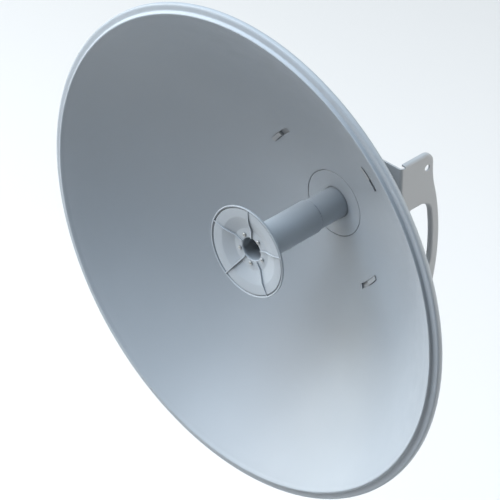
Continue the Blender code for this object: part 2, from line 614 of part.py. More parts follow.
def build():
    clear_scene()
    paint = material("light grey paint", (0.62, 0.66, 0.70), 0.45, 0.0)
    steel = material("galvanised steel", (0.56, 0.57, 0.58), 0.42, 0.9)
    plastic = material("light grey plastic", (0.60, 0.64, 0.68), 0.5, 0.0)
    cast = material("cast aluminium", (0.60, 0.61, 0.62), 0.5, 0.9)
    bracket_paint = material("bracket paint", (0.55, 0.57, 0.57), 0.5, 0.0)
    zinc = material("zinc plated fasteners", (0.66, 0.66, 0.64), 0.35, 1.0)
    brass = material("brass", (0.75, 0.58, 0.28), 0.3, 1.0)
    rubber = material("black rubber", (0.04, 0.04, 0.04), 0.8, 0.0)

    pole = empty("pole_axis", (0, 0, 0))
    azimuth = empty("azimuth_axis", (AZ_X, 0, 0), pole)
    elevation = empty("elevation_axis", (SIDE_X[0], 0, EL_Z), azimuth)
    dish = empty("dish_axis", DISH, elevation)

    reflector(paint, dish)
    reflector_centre(paint, dish)
    subreflector(plastic, dish)
    subreflector_screws(zinc, dish)
    tube("feed_sleeve", plastic, dish, SLEEVE_BORE_R, SLEEVE_R, SLEEVE_Y)
    seal = (SLEEVE_Y[1] + GAP, COLLAR_Y[0] - GAP)
    tube("sleeve_seal", rubber, dish, SLEEVE_BORE_R, COLLAR_R + 0.7, seal, 0.2)
    tube("feed_collar", plastic, dish, SLEEVE_BORE_R, COLLAR_R, (COLLAR_Y[0], HOUSING_Y[0] - GAP))
    waveguide(cast, dish)
    hub_plate(paint, dish)
    feed_housing(cast, dish)
    housing_cover(cast, dish)
    down, left = Matrix.Identity(4), Matrix.Rotation(math.pi / 2, 4, "Y")
    connector("connector_vertical", brass, dish, down)
    connector("connector_horizontal", brass, dish, left)
    probe("probe_vertical", brass, dish, down)
    probe("probe_horizontal", brass, dish, left)
    for index, (x, z) in enumerate(flange_points()):
        start = (x, HOUSING_Y[0] + FLANGE_T + GAP, z)
        bolt(f"housing_screw_{index + 1}", zinc, dish, start, (0, -1, 0), 2.4, 7.0, (4.2, 3.0))
    for index, (x, z) in enumerate(cover_points()):
        start = (x, HOUSING_Y[1] + COVER_T + 2 * GAP - COVER_SINK, z)
        bolt(f"cover_screw_{index + 1}", zinc, dish, start, (0, -1, 0), 1.4, 7.0, (COVER_HEAD_R, 1.5))
    dish_bracket(bracket_paint, dish)

    shift(side_plate(steel, elevation), elevation)
    y, z = CHEEK_HOLE[0] + DISH.y, CHEEK_HOLE[1]
    inside = DISH.x - CHEEK_X + PLATE + GAP
    for label, level in (("upper", z), ("lower", -z)):
        head = (SIDE_X[0] - GAP, y, level)
        tail = (inside, y, level)
        shift(bolt(f"cheek_bolt_{label}", zinc, elevation, head, (1, 0, 0), LOCK_R, 17.0), elevation)
        shift(nut(f"cheek_nut_{label}", zinc, elevation, tail, (1, 0, 0), LOCK_R), elevation)
    for label, level, radius in (("pivot", EL_Z, CLAMP_R), ("lock", EL_Z + EL_LOCK_R, LOCK_R)):
        head = (YOKE_X[0] - GAP, 0, level)
        tail = (SIDE_X[1] + GAP, 0, level)
        along = (1, 0, 0)
        shift(bolt(f"elevation_{label}_bolt", zinc, elevation, head, along, radius, 19.5), elevation)
        shift(nut(f"elevation_{label}_nut", zinc, elevation, tail, along, radius), elevation)

    shift(yoke(steel, azimuth), azimuth)
    top, bottom = SADDLE_LUG_Z[1] + GAP, -SADDLE_LUG_Z[1] - GAP
    down_z = (0, 0, -1)
    shift(bolt("azimuth_pivot_bolt", zinc, azimuth, (AZ_X, 0, top), down_z, CLAMP_R, 68.0), azimuth)
    shift(nut("azimuth_pivot_nut", zinc, azimuth, (AZ_X, 0, bottom), down_z, CLAMP_R), azimuth)
    spot = AZ_X + AZ_LOCK_R
    shift(bolt("azimuth_lock_bolt", zinc, azimuth, (spot, 0, top), down_z, LOCK_R, 17.0), azimuth)
    under = YOKE_LUG_Z[0] - GAP
    shift(nut("azimuth_lock_nut", zinc, azimuth, (spot, 0, under), down_z, LOCK_R), azimuth)

    saddle(steel, pole)
    back = POLE_R * math.sqrt(2) + V_WALL + BACK_PLATE + GAP
    for label, sign in (("upper", 1), ("lower", -1)):
        jaw(f"clamp_jaw_{label}", steel, pole, sign)
        for side, y in (("front", -CLAMP_Y), ("rear", CLAMP_Y)):
            head = (back, y, sign * CLAMP_Z)
            reach = back - CLAMP_END
            bolt(f"clamp_bolt_{label}_{side}", zinc, pole, head, (-1, 0, 0), CLAMP_R, reach)
            tail = (-back, y, sign * CLAMP_Z)
            nut(f"clamp_nut_{label}_{side}", zinc, pole, tail, (-1, 0, 0), CLAMP_R)


build()
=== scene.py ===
"""Looks of a point-to-point dish antenna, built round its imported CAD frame.

Sizes are millimetres until a mesh is made. Feed, dish and bracket are drawn in the dish frame: its
origin is the centre of the rim plane and y grows towards the back. The pole mount is drawn in the
row frame, whose Z axis is the pole's axis.
"""
import json
import math

import bmesh
import bpy
from mathutils import Matrix, Vector


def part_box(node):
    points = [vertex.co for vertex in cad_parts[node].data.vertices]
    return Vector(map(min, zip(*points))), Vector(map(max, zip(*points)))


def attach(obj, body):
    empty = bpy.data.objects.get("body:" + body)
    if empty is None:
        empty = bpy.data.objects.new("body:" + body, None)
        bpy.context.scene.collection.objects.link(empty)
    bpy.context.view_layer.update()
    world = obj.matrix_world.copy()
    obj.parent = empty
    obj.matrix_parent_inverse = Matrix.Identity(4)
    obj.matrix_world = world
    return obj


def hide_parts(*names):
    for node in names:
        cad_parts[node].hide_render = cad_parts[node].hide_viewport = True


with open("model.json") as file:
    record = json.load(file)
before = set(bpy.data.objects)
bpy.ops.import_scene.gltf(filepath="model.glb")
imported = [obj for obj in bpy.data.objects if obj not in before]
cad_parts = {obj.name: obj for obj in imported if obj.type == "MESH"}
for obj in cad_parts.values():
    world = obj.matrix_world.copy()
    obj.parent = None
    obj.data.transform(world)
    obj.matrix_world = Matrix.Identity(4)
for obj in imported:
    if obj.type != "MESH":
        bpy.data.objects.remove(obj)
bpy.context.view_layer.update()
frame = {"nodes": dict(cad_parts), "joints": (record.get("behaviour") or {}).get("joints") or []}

MM = 0.001
JOINTS = {joint["name"]: joint for joint in frame["joints"]}


def box(node):
    """Lowest and highest corner of a CAD node, in millimetres of the row frame."""
    low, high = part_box(node)
    return Vector(low) / MM, Vector(high) / MM


# Centre of the rim plane, and the two pivots of the mount
DISH, SWIVEL, TILT = (Vector(JOINTS[name]["pos_m"]) / MM
                      for name in ("reflector_twist", "azimuth_swivel", "elevation_tilt"))

# Reflector
RIM_R = (box("reflector")[1].x - box("reflector")[0].x) / 2
VERTEX = 157.5  # depth of the bowl on its axis
FOCAL_4 = 588.0  # four focal lengths, y = VERTEX - r^2 / FOCAL_4
SHEET = 2.0  # thickness of the bowl's sheet
BOWL_END = 307.0  # where the bowl turns into its rim
ROLL = (RIM_R - 3.6, 3.6, 4.4)  # centre radius and half axes of the rolled edge
HUB_HOLE = 44.2  # radius of the hole that the hub plate fills
SLOT_R, SLOT_WIDE, SLOT_HALF = 105.5, 6.6, 8.1  # radius, width, half length in degrees
SLOTS = (45.0, 135.0, 225.0, 315.0)

# Dish bracket
SEAT = SHEET + 0.4  # its front, behind the bowl's front surface
PLATE = 2.5  # thickness of its sheet
CHEEK_X = 131.0  # outer face of a cheek
CHEEK_TURN = 7.0  # how far its edges turn in
PAN_Y, PAN_Z = 133.6, 117.0  # front and half height of the pan between the cheeks
PAN_EDGE_X, PAN_EDGE_Y = 64.0, 149.6  # reach of the pan's turned top and bottom edges
CHEEK_TOP, CHEEK_REAR, CHEEK_BULGE = 119.0, 191.0, 202.6
BULGE_Z = 80.0  # where the rear edge starts to bulge
STRIP = 13.7  # width of the handle strip behind the window
WINDOW_Z, WINDOW_FRONT = 50.0, 146.0
WINDOW_CORNERS = (9.0, 18.0)  # radius at the front and at the rear
CHEEK_HOLE = (179.0, 99.7, 4.3)  # y, z and radius
HOUSING_HOLE = 34.0  # radius, in the pan
HOOK_HALF = 2.7  # half width of a hook
FLANGE_POINTS = ((40.0, 0), (0, 40.0), (-40.0, 0), (0, -40.0))  # screws of the housing's flange

# Pole mount
VEE_APEX = 25.4 * math.sqrt(2)
VEE_DEPTH, VEE_WALL, BACK_PLATE = 25.0, 5.0, 6.0  # depth of the V and the two thicknesses
VEE_HALF_Y = 56.0  # half width of the back plates
SADDLE_HALF_Z, JAW_LEVELS = 60.0, (25.0, 58.0)
SADDLE_LUG, YOKE_LUG = (24.3, 28.3), (20.0, 24.0)  # levels of the lugs' inner and outer faces
MOUNT_PLATE = 4.0  # thickness of the yoke's plate
WELD_R = 1.9
CLAMP_Y, CLAMP_Z, CLAMP_R = 45.0, 41.5, 4.9  # place and radius of the clamp bolts
LOCK_R = 3.9
AZ_LOCK_R, AZ_SWING = 21.0, 15.0  # lock bolt's distance from the pivot, degrees either way
EL_LOCK_R, EL_SWING = 84.0, 20.0
PIVOT_HOLE, LOCK_HOLE, LOCK_SLOT = CLAMP_R + 0.3, LOCK_R + 0.3, LOCK_R + 0.4

# Fasteners: radius and pitch of each thread, then the head's size as shares of the radius
M10, M8, M5, M3 = (CLAMP_R, 1.5), (LOCK_R, 1.25), (2.4, 0.8), (1.4, 0.5)
HEAD_HIGH, HEAD_WIDE, NUT_HIGH = 1.3, 1.5155, 1.6
HEX_CORNER = 0.1547  # a hexagon's corners lie this share farther out than its sides
GAP = 0.3  # left between pieces that would touch

# Feed housing
HOUSING_FLANGE = 165.0  # rear face of its flange
PORT_Y = 181.0  # where the connectors and their probes sit

ROUND = 192  # steps round the bowl
TUBE = 96  # round the tubes
SMALL = 48  # round screws and holes
EDGE_STEPS = 3  # steps over a rounded edge


# Meshes

def add_object(name, data):
    obj = bpy.data.objects.new(name, data)
    bpy.context.scene.collection.objects.link(obj)
    return obj


def from_bmesh(name, bm):
    bmesh.ops.recalc_face_normals(bm, faces=bm.faces)
    bmesh.ops.scale(bm, vec=(MM, MM, MM), verts=bm.verts)
    mesh = bpy.data.meshes.new(name)
    bm.to_mesh(mesh)
    bm.free()
    return add_object(name, mesh)


def modify(obj, name, kind, **settings):
    modifier = obj.modifiers.new(name, kind)
    for setting, value in settings.items():
        setattr(modifier, setting, value)


def apply_modifiers(obj):
    graph = bpy.context.evaluated_depsgraph_get()
    mesh = bpy.data.meshes.new_from_object(obj.evaluated_get(graph))
    obj.modifiers.clear()
    obj.data = mesh
    return obj


def combine(target, tools, operation):
    for tool in tools:
        modify(target, "combine", "BOOLEAN", operation=operation, object=tool)
    apply_modifiers(target)
    for tool in tools:
        bpy.data.objects.remove(tool, do_unlink=True)
    return target


def cut(target, *tools):
    return combine(target, tools, "DIFFERENCE")


def join(target, *tools):
    return combine(target, tools, "UNION")


def arc(centre, radius, start, stop, steps):
    """Points on a circle from start to stop degrees."""
    angles = [math.radians(start + (stop - start) * i / steps) for i in range(steps + 1)]
    return [(centre[0] + radius * math.cos(a), centre[1] + radius * math.sin(a)) for a in angles]


def circle(centre, radius):
    return arc(centre, radius, 0, 360, SMALL)[:-1]


def rounded_box(half_a, half_b, corner, steps=8):
    return filleted([(half_a, half_b, corner), (-half_a, half_b, corner), (-half_a, -half_b, corner),
                     (half_a, -half_b, corner)], steps)


def mirrored(points):
    """Points in reverse order, each with its second coordinate negated."""
    return [(a, -b, *rest) for a, b, *rest in reversed(points)]


def filleted(corners, steps=6):
    """Closed outline through (x, y, radius) corners, each rounded by an arc that touches its sides."""
    points = []
    for i, (x, y, radius) in enumerate(corners):
        if not radius:
            points.append((x, y))
            continue
        here = Vector((x, y))
        before = (Vector(corners[i - 1][:2]) - here).normalized()
        after = (Vector(corners[(i + 1) % len(corners)][:2]) - here).normalized()
        half = before.angle(after) / 2
        centre = here + (before + after).normalized() * radius / math.sin(half)
        first = here + before * radius / math.tan(half) - centre
        last = here + after * radius / math.tan(half) - centre
        start = math.atan2(first.y, first.x)
        sweep = (math.atan2(last.y, last.x) - start + math.pi) % math.tau - math.pi
        points += arc(centre, radius, math.degrees(start), math.degrees(start + sweep), steps)
    return points


def area(outline):
    return sum(a[0] * b[1] - b[0] * a[1] for a, b in zip(outline, outline[1:] + outline[:1])) / 2


def turning(outline, sign):
    """The outline, reversed if need be so that it runs counter-clockwise (1) or clockwise (-1)."""
    return outline if area(outline) * sign > 0 else outline[::-1]


def inward(outline, distance):
    """Outline moved to the left of its direction by distance."""
    moved = []
    for i, point in enumerate(outline):
        here = Vector(point)
        before = (here - Vector(outline[i - 1])).normalized()
        after = (Vector(outline[(i + 1) % len(outline)]) - here).normalized()
        left = Vector((-before.y - after.y, before.x + after.x)).normalized()
        reach = max(0.35, left.dot(Vector((-before.y, before.x))))
        moved.append(tuple(here + left * distance / reach))
    return moved


def edge_path(low, high, edge):
    """(inset, depth) steps over the wall of a plate, with both its edges rounded."""
    turn = [(edge * (1 - math.sin(a)), edge * (1 - math.cos(a)))
            for a in (math.pi / 2 * i / EDGE_STEPS for i in range(EDGE_STEPS + 1))]
    return [(i, low + d) for i, d in turn] + [(i, high - d) for i, d in reversed(turn)]


def band(bm, near, far):
    """Faces between two closed rings; a ring that is a pole repeats one vertex."""
    for k in range(len(near)):
        corners = list(dict.fromkeys((near[k - 1], near[k], far[k], far[k - 1])))
        if len(corners) > 2:
            bm.faces.new(corners)


def walled(name, axis, loops):
    """Closed solid between two flat faces. Each (outline, path) loop is swept along its own
    (inset, depth) path from the first face to the last; depth runs along axis."""
    bm = bmesh.new()
    index = "xyz".index(axis)
    ends = ([], [])
    for outline, path in loops:
        rings = []
        for inset, depth in path:
            points = inward(outline, inset) if inset else outline
            spots = [list(p[:index]) + [depth] + list(p[index:]) for p in points]
            rings.append([bm.verts.new(spot) for spot in spots])
        for near, far in zip(rings, rings[1:]):
            band(bm, near, far)
        for end, verts in zip(ends, (rings[0], rings[-1])):
            end += [bm.edges.get((verts[k - 1], verts[k])) for k in range(len(verts))]
    for end in ends:
        bmesh.ops.triangle_fill(bm, use_beauty=True, edges=end)
    return from_bmesh(name, bm)


def slab(name, axis, outer, low, high, holes=(), edge=0.6):
    """Flat plate with rounded edges; outlines use the two coordinates other than axis."""
    path = edge_path(low, high, edge)
    loops = [(turning(outer, 1), path)] + [(turning(hole, -1), path) for hole in holes]
    return walled(name, axis, loops)


def turned(name, loop, steps=TUBE):
    """Closed (radius, y) outline turned about the Y axis; points on the axis become poles."""
    bm = bmesh.new()
    angles = [math.tau * k / steps for k in range(steps)]
    rings = []
    for r, y in loop:
        if r < 1e-6:
            rings.append([bm.verts.new((0, y, 0))] * steps)
        else:
            rings.append([bm.verts.new((r * math.cos(a), y, r * math.sin(a))) for a in angles])
    for near, far in zip(rings, rings[1:] + rings[:1]):
        band(bm, near, far)
    return from_bmesh(name, bm)


def hexed(apothem, height, drop=0.0):
    """Ring of a hexagon whose corners sit lower than its sides by drop."""
    def at(a):
        radius = apothem / math.cos((a + math.pi / 6) % (math.pi / 3) - math.pi / 6)
        return radius, height - drop * (radius / apothem - 1) / HEX_CORNER
    return at


def ring(radius, height):
    return lambda a: (radius, height)


def spun(name, rings, start, axis, closed=False, steps=SMALL):
    """Surface through rings, each a function of the angle giving (radius, height) along axis from
    start. A ring of no radius is a pole; closed joins the last ring to the first."""
    bm = bmesh.new()
    angles = [math.tau * k / steps for k in range(steps)]
    made = []
    for at in rings:
        if at(0)[0] < 1e-6:
            made.append([bm.verts.new((0, 0, at(0)[1]))] * steps)
        else:
            made.append([bm.verts.new((at(a)[0] * math.cos(a), at(a)[0] * math.sin(a), at(a)[1]))
                         for a in angles])
    for near, far in zip(made, made[1:] + made[:1] if closed else made[1:]):
        band(bm, near, far)
    turn = Vector((0, 0, 1)).rotation_difference(Vector(axis)).to_matrix().to_4x4()
    bmesh.ops.transform(bm, matrix=Matrix.Translation(start) @ turn, verts=bm.verts)
    return from_bmesh(name, bm)


def rod(start, axis, radius, length, steps=SMALL):
    rings = [ring(0, 0), ring(radius, 0), ring(radius, length), ring(0, length)]
    return spun("rod", rings, start, axis, steps=steps)


def spin(obj, degrees):
    """Turn a mesh about the Y axis."""
    obj.data.transform(Matrix.Rotation(math.radians(degrees), 4, "Y"))
    return obj


def finish_piece(obj, name, finish, body, nodes, place=(0, 0, 0), sharp=32, weighted=False):
    """Name a piece, give it its finish and its body, and let it stand for its CAD nodes."""
    obj.data.transform(Matrix.Translation(Vector(place) * MM))
    obj.name = name
    obj.data.name = name
    obj.data.materials.append(finish.mat)
    obj.data.shade_smooth()
    obj.data.set_sharp_from_angle(angle=math.radians(sharp))
    if weighted:
        modify(obj, "even normals", "WEIGHTED_NORMAL", keep_sharp=True, weight=60)
    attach(obj, body)
    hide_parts(*nodes)


def finish_tilting(obj, name, finish, node, **options):
    """A piece on the tilting frame, drawn in the dish frame."""
    finish_piece(obj, name, finish, "tilting_frame", [node], DISH, **options)


def finish_plate(obj, name, body, node):
    finish_piece(obj, name, GALVANISED, body, [node], weighted=True)


# Materials

MIDDLE = (0.3, 0.7)  # the part of its range that a noise mostly fills


class Finish:
    """A Principled material whose colour, roughness and bump come from textures, and its slot."""

    def __init__(self, name, slot, roughness, metallic=0.0, specular=0.5):
        self.slot = slot
        self.mat = bpy.data.materials.new(name)
        self.mat.use_nodes = True
        self.tree = self.mat.node_tree
        self.shader = self.tree.nodes["Principled BSDF"]
        self.put(self.shader.inputs["Roughness"], roughness)
        self.put(self.shader.inputs["Metallic"], metallic)
        self.put(self.shader.inputs["Specular IOR Level"], specular)
        self.coords = self.add("TexCoord").outputs["Object"]

    def put(self, socket, value):
        """Give an input another node's output, a number or a colour."""
        if isinstance(value, bpy.types.NodeSocket):
            self.tree.links.new(value, socket)
        else:
            socket.default_value = (*value, 1.0) if socket.type == "RGBA" else value

    def add(self, kind, **inputs):
        """New shader node; an input's name has an underscore for a space."""
        node = self.tree.nodes.new("ShaderNode" + kind)
        for name, value in inputs.items():
            self.put(node.inputs[name.replace("_", " ")], value)
        return node

    def noise(self, scale, detail=3.0, rough=0.55, stretch=None):
        where = self.coords
        if stretch:
            where = self.add("Mapping", Vector=where, Scale=stretch).outputs["Vector"]
        node = self.add("TexNoise", Vector=where, Scale=scale, Detail=detail, Roughness=rough)
        return node.outputs["Fac"]

    def cells(self, scale):
        """Red and green of cells that each have a random colour."""
        voronoi = self.add("TexVoronoi", Vector=self.coords, Scale=scale)
        split = self.add("SeparateColor", Color=voronoi.outputs["Color"])
        return split.outputs["Red"], split.outputs["Green"]

    def span(self, source, low, high, to_low=0.0, to_high=1.0):
        node = self.add("MapRange", Value=source, From_Min=low, From_Max=high, To_Min=to_low,
                        To_Max=to_high)
        return node.outputs["Result"]

    def mix(self, factor, first, second):
        node = self.add("Mix", Factor=factor)
        node.data_type = "RGBA"
        for value, socket in zip((first, second), [s for s in node.inputs if s.type == "RGBA"]):
            self.put(socket, value)
        return [s for s in node.outputs if s.type == "RGBA"][0]

    def times(self, first, second):
        node = self.add("Math")
        node.operation = "MULTIPLY"
        self.put(node.inputs[0], first)
        self.put(node.inputs[1], second)
        return node.outputs["Value"]

    def edges(self):
        """Near 1 on worn outer edges, 0 on flat faces and in hollows."""
        return self.span(self.add("NewGeometry").outputs["Pointiness"], 0.53, 0.60)

    def hollows(self, distance):
        """Ambient occlusion: 1 in the open, falling towards 0 in corners; the mask for painted shade.
        """
        node = self.add("AmbientOcclusion", Distance=distance)
        node.samples = 6
        return node.outputs["AO"]

    def clouded(self, colour, scale, detail, dark, light):
        """The colour, drifting between dark and light times itself."""
        clouds = self.span(self.noise(scale, detail), *MIDDLE)
        return self.mix(clouds, shade(colour, dark), shade(colour, light))

    def corner_shaded(self, tone, colour, distance, reach, amount, dark):
        """The tone, turning to dark times the colour in corners as painted shade; reach is the open
        share there.
        """
        shadow_mask = self.span(self.hollows(distance), *reach, 1.0, 0.0)
        return self.mix(self.times(shadow_mask, amount), tone, shade(colour, dark))

    def colour(self, source):
        self.put(self.shader.inputs["Base Color"], source)

    def roughness(self, source):
        self.put(self.shader.inputs["Roughness"], source)

    def patchy(self, scale, detail, smooth, rough):
        """Roughness that drifts between smooth and rough."""
        self.roughness(self.span(self.noise(scale, detail), *MIDDLE, smooth, rough))

    def bumps(self, *layers):
        """(height, distance in metres, strength) layers, one over the other."""
        normal = None
        for height, distance, strength in layers:
            node = self.add("Bump", Height=height, Distance=distance, Strength=strength)
            if normal:
                self.put(node.inputs["Normal"], normal)
            normal = node.outputs["Normal"]
        self.put(self.shader.inputs["Normal"], normal)


def shade(colour, factor):
    return tuple(c * factor for c in colour)


def powder_coat(name, slot, colour, roughness, worn):
    """Paint with a fine orange peel, faint clouding and painted shade in its corners."""
    f = Finish(name, slot, roughness, specular=0.35)
    speckle = f.span(f.noise(1400.0, 2.0), 0.35, 0.65)
    tone = f.clouded(colour, 5.5, 4.0, 0.965, 1.03)
    tone = f.mix(f.times(speckle, 0.25), tone, shade(colour, 0.93))
    # painted shade: the colour darkens in corners, driven by ambient occlusion
    tone = f.corner_shaded(tone, colour, 0.006, (0.35, 0.85), 0.45, 0.42)
    f.colour(f.mix(f.times(f.edges(), 0.35), tone, worn))
    f.patchy(38.0, 5.0, roughness - 0.05, roughness + 0.06)
    f.bumps((f.noise(720.0, 2.0), 0.00006, 0.35), (f.noise(2600.0, 1.0), 0.00002, 0.3))
    return f


def moulded(name, slot, colour, roughness):
    """Weatherproof plastic with a spark-eroded mould texture and faint flow clouding."""
    f = Finish(name, slot, roughness, specular=0.45)
    # painted shade: the colour darkens in corners, driven by ambient occlusion
    f.colour(f.corner_shaded(f.clouded(colour, 11.0, 4.0, 0.96, 1.03), colour, 0.004, (0.35, 0.85), 0.5, 0.4))
    f.patchy(60.0, 4.0, roughness - 0.05, roughness + 0.07)
    f.bumps((f.noise(1500.0, 3.0, 0.7), 0.00004, 0.4))
    return f


def galvanised(name, slot, colour):
    """Hot-dip zinc: spangle cells that differ in tone and gloss, over a faint ripple."""
    f = Finish(name, slot, 0.42, metallic=0.9)
    red, green = f.cells(95.0)
    tone = f.mix(red, shade(colour, 0.86), shade(colour, 1.1))
    stain = f.span(f.noise(24.0, 5.0), 0.5, 0.75)
    tone = f.mix(f.times(stain, 0.35), tone, shade(colour, 0.72))
    # painted shade: the colour darkens in corners, driven by ambient occlusion
    f.colour(f.corner_shaded(tone, colour, 0.008, (0.3, 0.8), 0.5, 0.35))
    f.roughness(f.span(green, 0.0, 1.0, 0.33, 0.5))
    f.bumps((f.noise(60.0, 3.0), 0.0003, 0.15), (f.noise(900.0, 2.0), 0.00003, 0.3))
    return f


def cast(name, slot, colour):
    """Die-cast aluminium, blasted: a fine even grain with soft stains."""
    f = Finish(name, slot, 0.5, metallic=0.85)
    # painted shade: the colour darkens in corners, driven by ambient occlusion
    f.colour(f.corner_shaded(f.clouded(colour, 16.0, 5.0, 0.93, 1.05), colour, 0.006, (0.3, 0.85), 0.5, 0.35))
    f.patchy(120.0, 4.0, 0.42, 0.58)
    f.bumps((f.noise(1900.0, 2.0, 0.6), 0.00005, 0.6))
    return f


def plated(name, slot, colour, roughness, tint):
    """Zinc or gold plate with drawn lines and a faint tint that comes and goes."""
    f = Finish(name, slot, roughness, metallic=1.0)
    tone = f.mix(f.span(f.noise(90.0, 4.0), 0.35, 0.7), colour, tint)
    # painted shade: the colour darkens in corners, driven by ambient occlusion
    f.colour(f.corner_shaded(tone, colour, 0.003, (0.3, 0.8), 0.6, 0.25))
    f.patchy(400.0, 4.0, roughness - 0.07, roughness + 0.1)
    f.bumps((f.noise(700.0, 2.0, 0.5, (1.0, 1.0, 0.08)), 0.00003, 0.35))
    return f


def elastomer(name, slot, colour):
    """Dull seal rubber with a mottled bloom."""
    f = Finish(name, slot, 0.75, specular=0.35)
    f.colour(f.clouded(colour, 300.0, 4.0, 0.7, 1.6))
    f.patchy(500.0, 3.0, 0.65, 0.85)
    f.bumps((f.noise(1800.0, 2.0), 0.00004, 0.5))
    return f


PAINT = powder_coat("light blue grey paint", "reflector_paint", (0.345, 0.375, 0.405), 0.36,
                    (0.42, 0.44, 0.46))
BRACKET_PAINT = powder_coat("bracket paint", "bracket_paint", (0.36, 0.37, 0.38), 0.5,
                            (0.46, 0.47, 0.47))
PLASTIC = moulded("light grey moulding", "feed_plastic", (0.335, 0.365, 0.395), 0.42)
GALVANISED = galvanised("galvanised plate", "galvanised_plate", (0.40, 0.415, 0.43))
CAST = cast("cast aluminium", "cast_housing", (0.42, 0.435, 0.45))
ZINC = plated("zinc plate", "zinc_fastener", (0.50, 0.51, 0.52), 0.32, (0.44, 0.43, 0.39))
BRASS = plated("gold plated brass", "contact_brass", (0.62, 0.47, 0.23), 0.28, (0.54, 0.38, 0.18))
RUBBER = elastomer("grey seal", "seal_rubber", (0.25, 0.275, 0.30))
DIELECTRIC = moulded("white dielectric", "feed_plastic", (0.52, 0.52, 0.51), 0.4)


# Reflector

def bowl_y(r):
    return VERTEX - r * r / FOCAL_4


def bowl_point(r, offset=0.0):
    """Point of the bowl's front surface at radius r, moved out of its back by offset."""
    slope = 2 * r / FOCAL_4
    size = math.hypot(slope, 1)
    return (r + offset * slope / size, bowl_y(r) + offset / size)


def over_bowl(r, offset):
    """Point at radius r exactly, at a distance offset behind the bowl's front surface."""
    return (r, bowl_y(r) + offset * math.hypot(2 * r / FOCAL_4, 1))


def smooth_path(points, steps):
    """Catmull-Rom curve through points, with steps sides between two of them."""
    made = []
    padded = [points[0]] + list(points) + [points[-1]]
    for a, b, c, d in zip(padded, padded[1:], padded[2:], padded[3:]):
        a, b, c, d = map(Vector, (a, b, c, d))
        for i in range(steps):
            t = i / steps
            made.append(tuple(b + (c - a) * t / 2 + (2 * a - 5 * b + 4 * c - d) * t * t / 2
                              + (3 * b - a - 3 * c + d) * t ** 3 / 2))
    return made + [points[-1]]


def reflector_profile():
    """Front of the bowl, its bead and flat flange, the rolled edge, and the bowl's back."""
    edge, count, curl = 0.5, 44, 1.5
    front = [(HUB_HOLE, over_bowl(HUB_HOLE, edge)[1]), over_bowl(HUB_HOLE + edge * 0.3, edge * 0.3),
             over_bowl(HUB_HOLE + edge, 0)]
    start = HUB_HOLE + 3
    front += [bowl_point(start + (BOWL_END - start) * i / count) for i in range(count)]
    centre, half_r, half_y = ROLL
    lip = [bowl_point(BOWL_END), (309.4, -5.1), (311.4, -7.4), (313.0, -8.6), (314.4, -8.2),
           (315.2, -6.8), (315.9, -5.2), (317.0, -4.55), (319.0, -4.4)]
    outside = [(322.0, -4.4), (323.4, -4.15), (324.4, -3.4), (324.85, -2.2)]
    outside += [(centre + half_r * x, half_y * y) for x, y in arc((0, 0), 1, -8, 152, 20)]
    front += smooth_path(lip + [outside[0]], 3)[:-1] + outside
    inside = [(centre + (half_r - curl) * x, (half_y - curl) * y)
              for x, y in arc((0, 0), 1, 152, -112, 24)]
    under = [(317.4, -2.9), (315.6, -3.8), (314.5, -5.6), (313.1, -6.8), (311.6, -6.0)]
    back_end = 303.0
    back = [bowl_point(r, SHEET) for r in (307.2, 305.6)]
    back += [bowl_point(back_end + (start - back_end) * i / 30, SHEET) for i in range(31)]
    back += [over_bowl(HUB_HOLE + edge, SHEET), over_bowl(HUB_HOLE, SHEET - edge)]
    return front + inside + smooth_path([inside[-1]] + under + [back[0]], 3)[1:-1] + back


def sector(loop, start, stop, steps=10):
    """(radius, y) loop swept round the Y axis from start to stop degrees, +X towards +Z."""
    bm = bmesh.new()
    rings = []
    for i in range(steps + 1):
        a = math.radians(start + (stop - start) * i / steps)
        rings.append([bm.verts.new((r * math.cos(a), y, r * math.sin(a))) for r, y in loop])
    for near, far in zip(rings, rings[1:]):
        band(bm, near, far)
    bm.faces.new(rings[0])
    bm.faces.new(rings[-1])
    return from_bmesh("sector", bm)


def slot_cutter(angle):
    low, high = SLOT_R - SLOT_WIDE / 2, SLOT_R + SLOT_WIDE / 2
    front, back = 130, 155  # either side of the sheet there
    return sector([(low, front), (high, front), (high, back), (low, back)],
                  angle - SLOT_HALF, angle + SLOT_HALF)


def make_reflector():
    bowl = turned("reflector", reflector_profile(), ROUND)
    cut(bowl, *[slot_cutter(angle) for angle in SLOTS])
    finish_piece(bowl, "reflector_skin", PAINT, "dish", ["reflector", "reflector_centre"], DISH)


make_reflector()


# Feed

SUB_R, SUB_HUB_R, SUB_BORE = 61.0, 27.5, 15.5
RIBS, RIB_START, RIB_T = 5, 17.0, 1.8
SUB_SCREW_R = 19.7


def subreflector_profile():
    """Flat hub, shallow cone, nearly flat face and raised lip; then the plain back."""
    return filleted([
        (SUB_BORE, 11.5, 0.7), (SUB_HUB_R, 11.5, 0.8), (28.8, 11.2, 0.8), (43.2, 6.1, 1.0),
        (44.8, 5.6, 0.8), (57.0, 3.9, 0.25), (57.8, 5.2, 0.2), (58.6, 5.2, 0.2), (59.2, 3.4, 0.2),
        (59.6, 3.0, 0.2), (60.6, 3.0, 0.3), (SUB_R, 3.4, 0), (SUB_R, 5.2, 0.4), (60.0, 6.4, 0.5),
        (57.5, 8.2, 1.2), (46.0, 8.6, 2.0), (42.0, 9.6, 2.0), (30.0, 15.0, 1.0),
        (SUB_BORE, 15.0, 0.5)], 4)


def make_subreflector():
    dish = turned("subreflector", subreflector_profile(), ROUND)
    crest = [(16.2, 13.0), (16.2, 9.9), (27.0, 9.7), (41.0, 4.5), (44.0, 3.9), (59.4, 3.1),
             (59.6, 4.4), (57.0, 6.6), (44.0, 7.0), (29.0, 13.0)]
    join(dish, *[spin(slab("rib", "z", crest, -RIB_T / 2, RIB_T / 2, edge=0.25),
                      -(RIB_START + index * 360 / RIBS)) for index in range(RIBS)])
    finish_tilting(dish, "subreflector_moulding", PLASTIC, "subreflector")


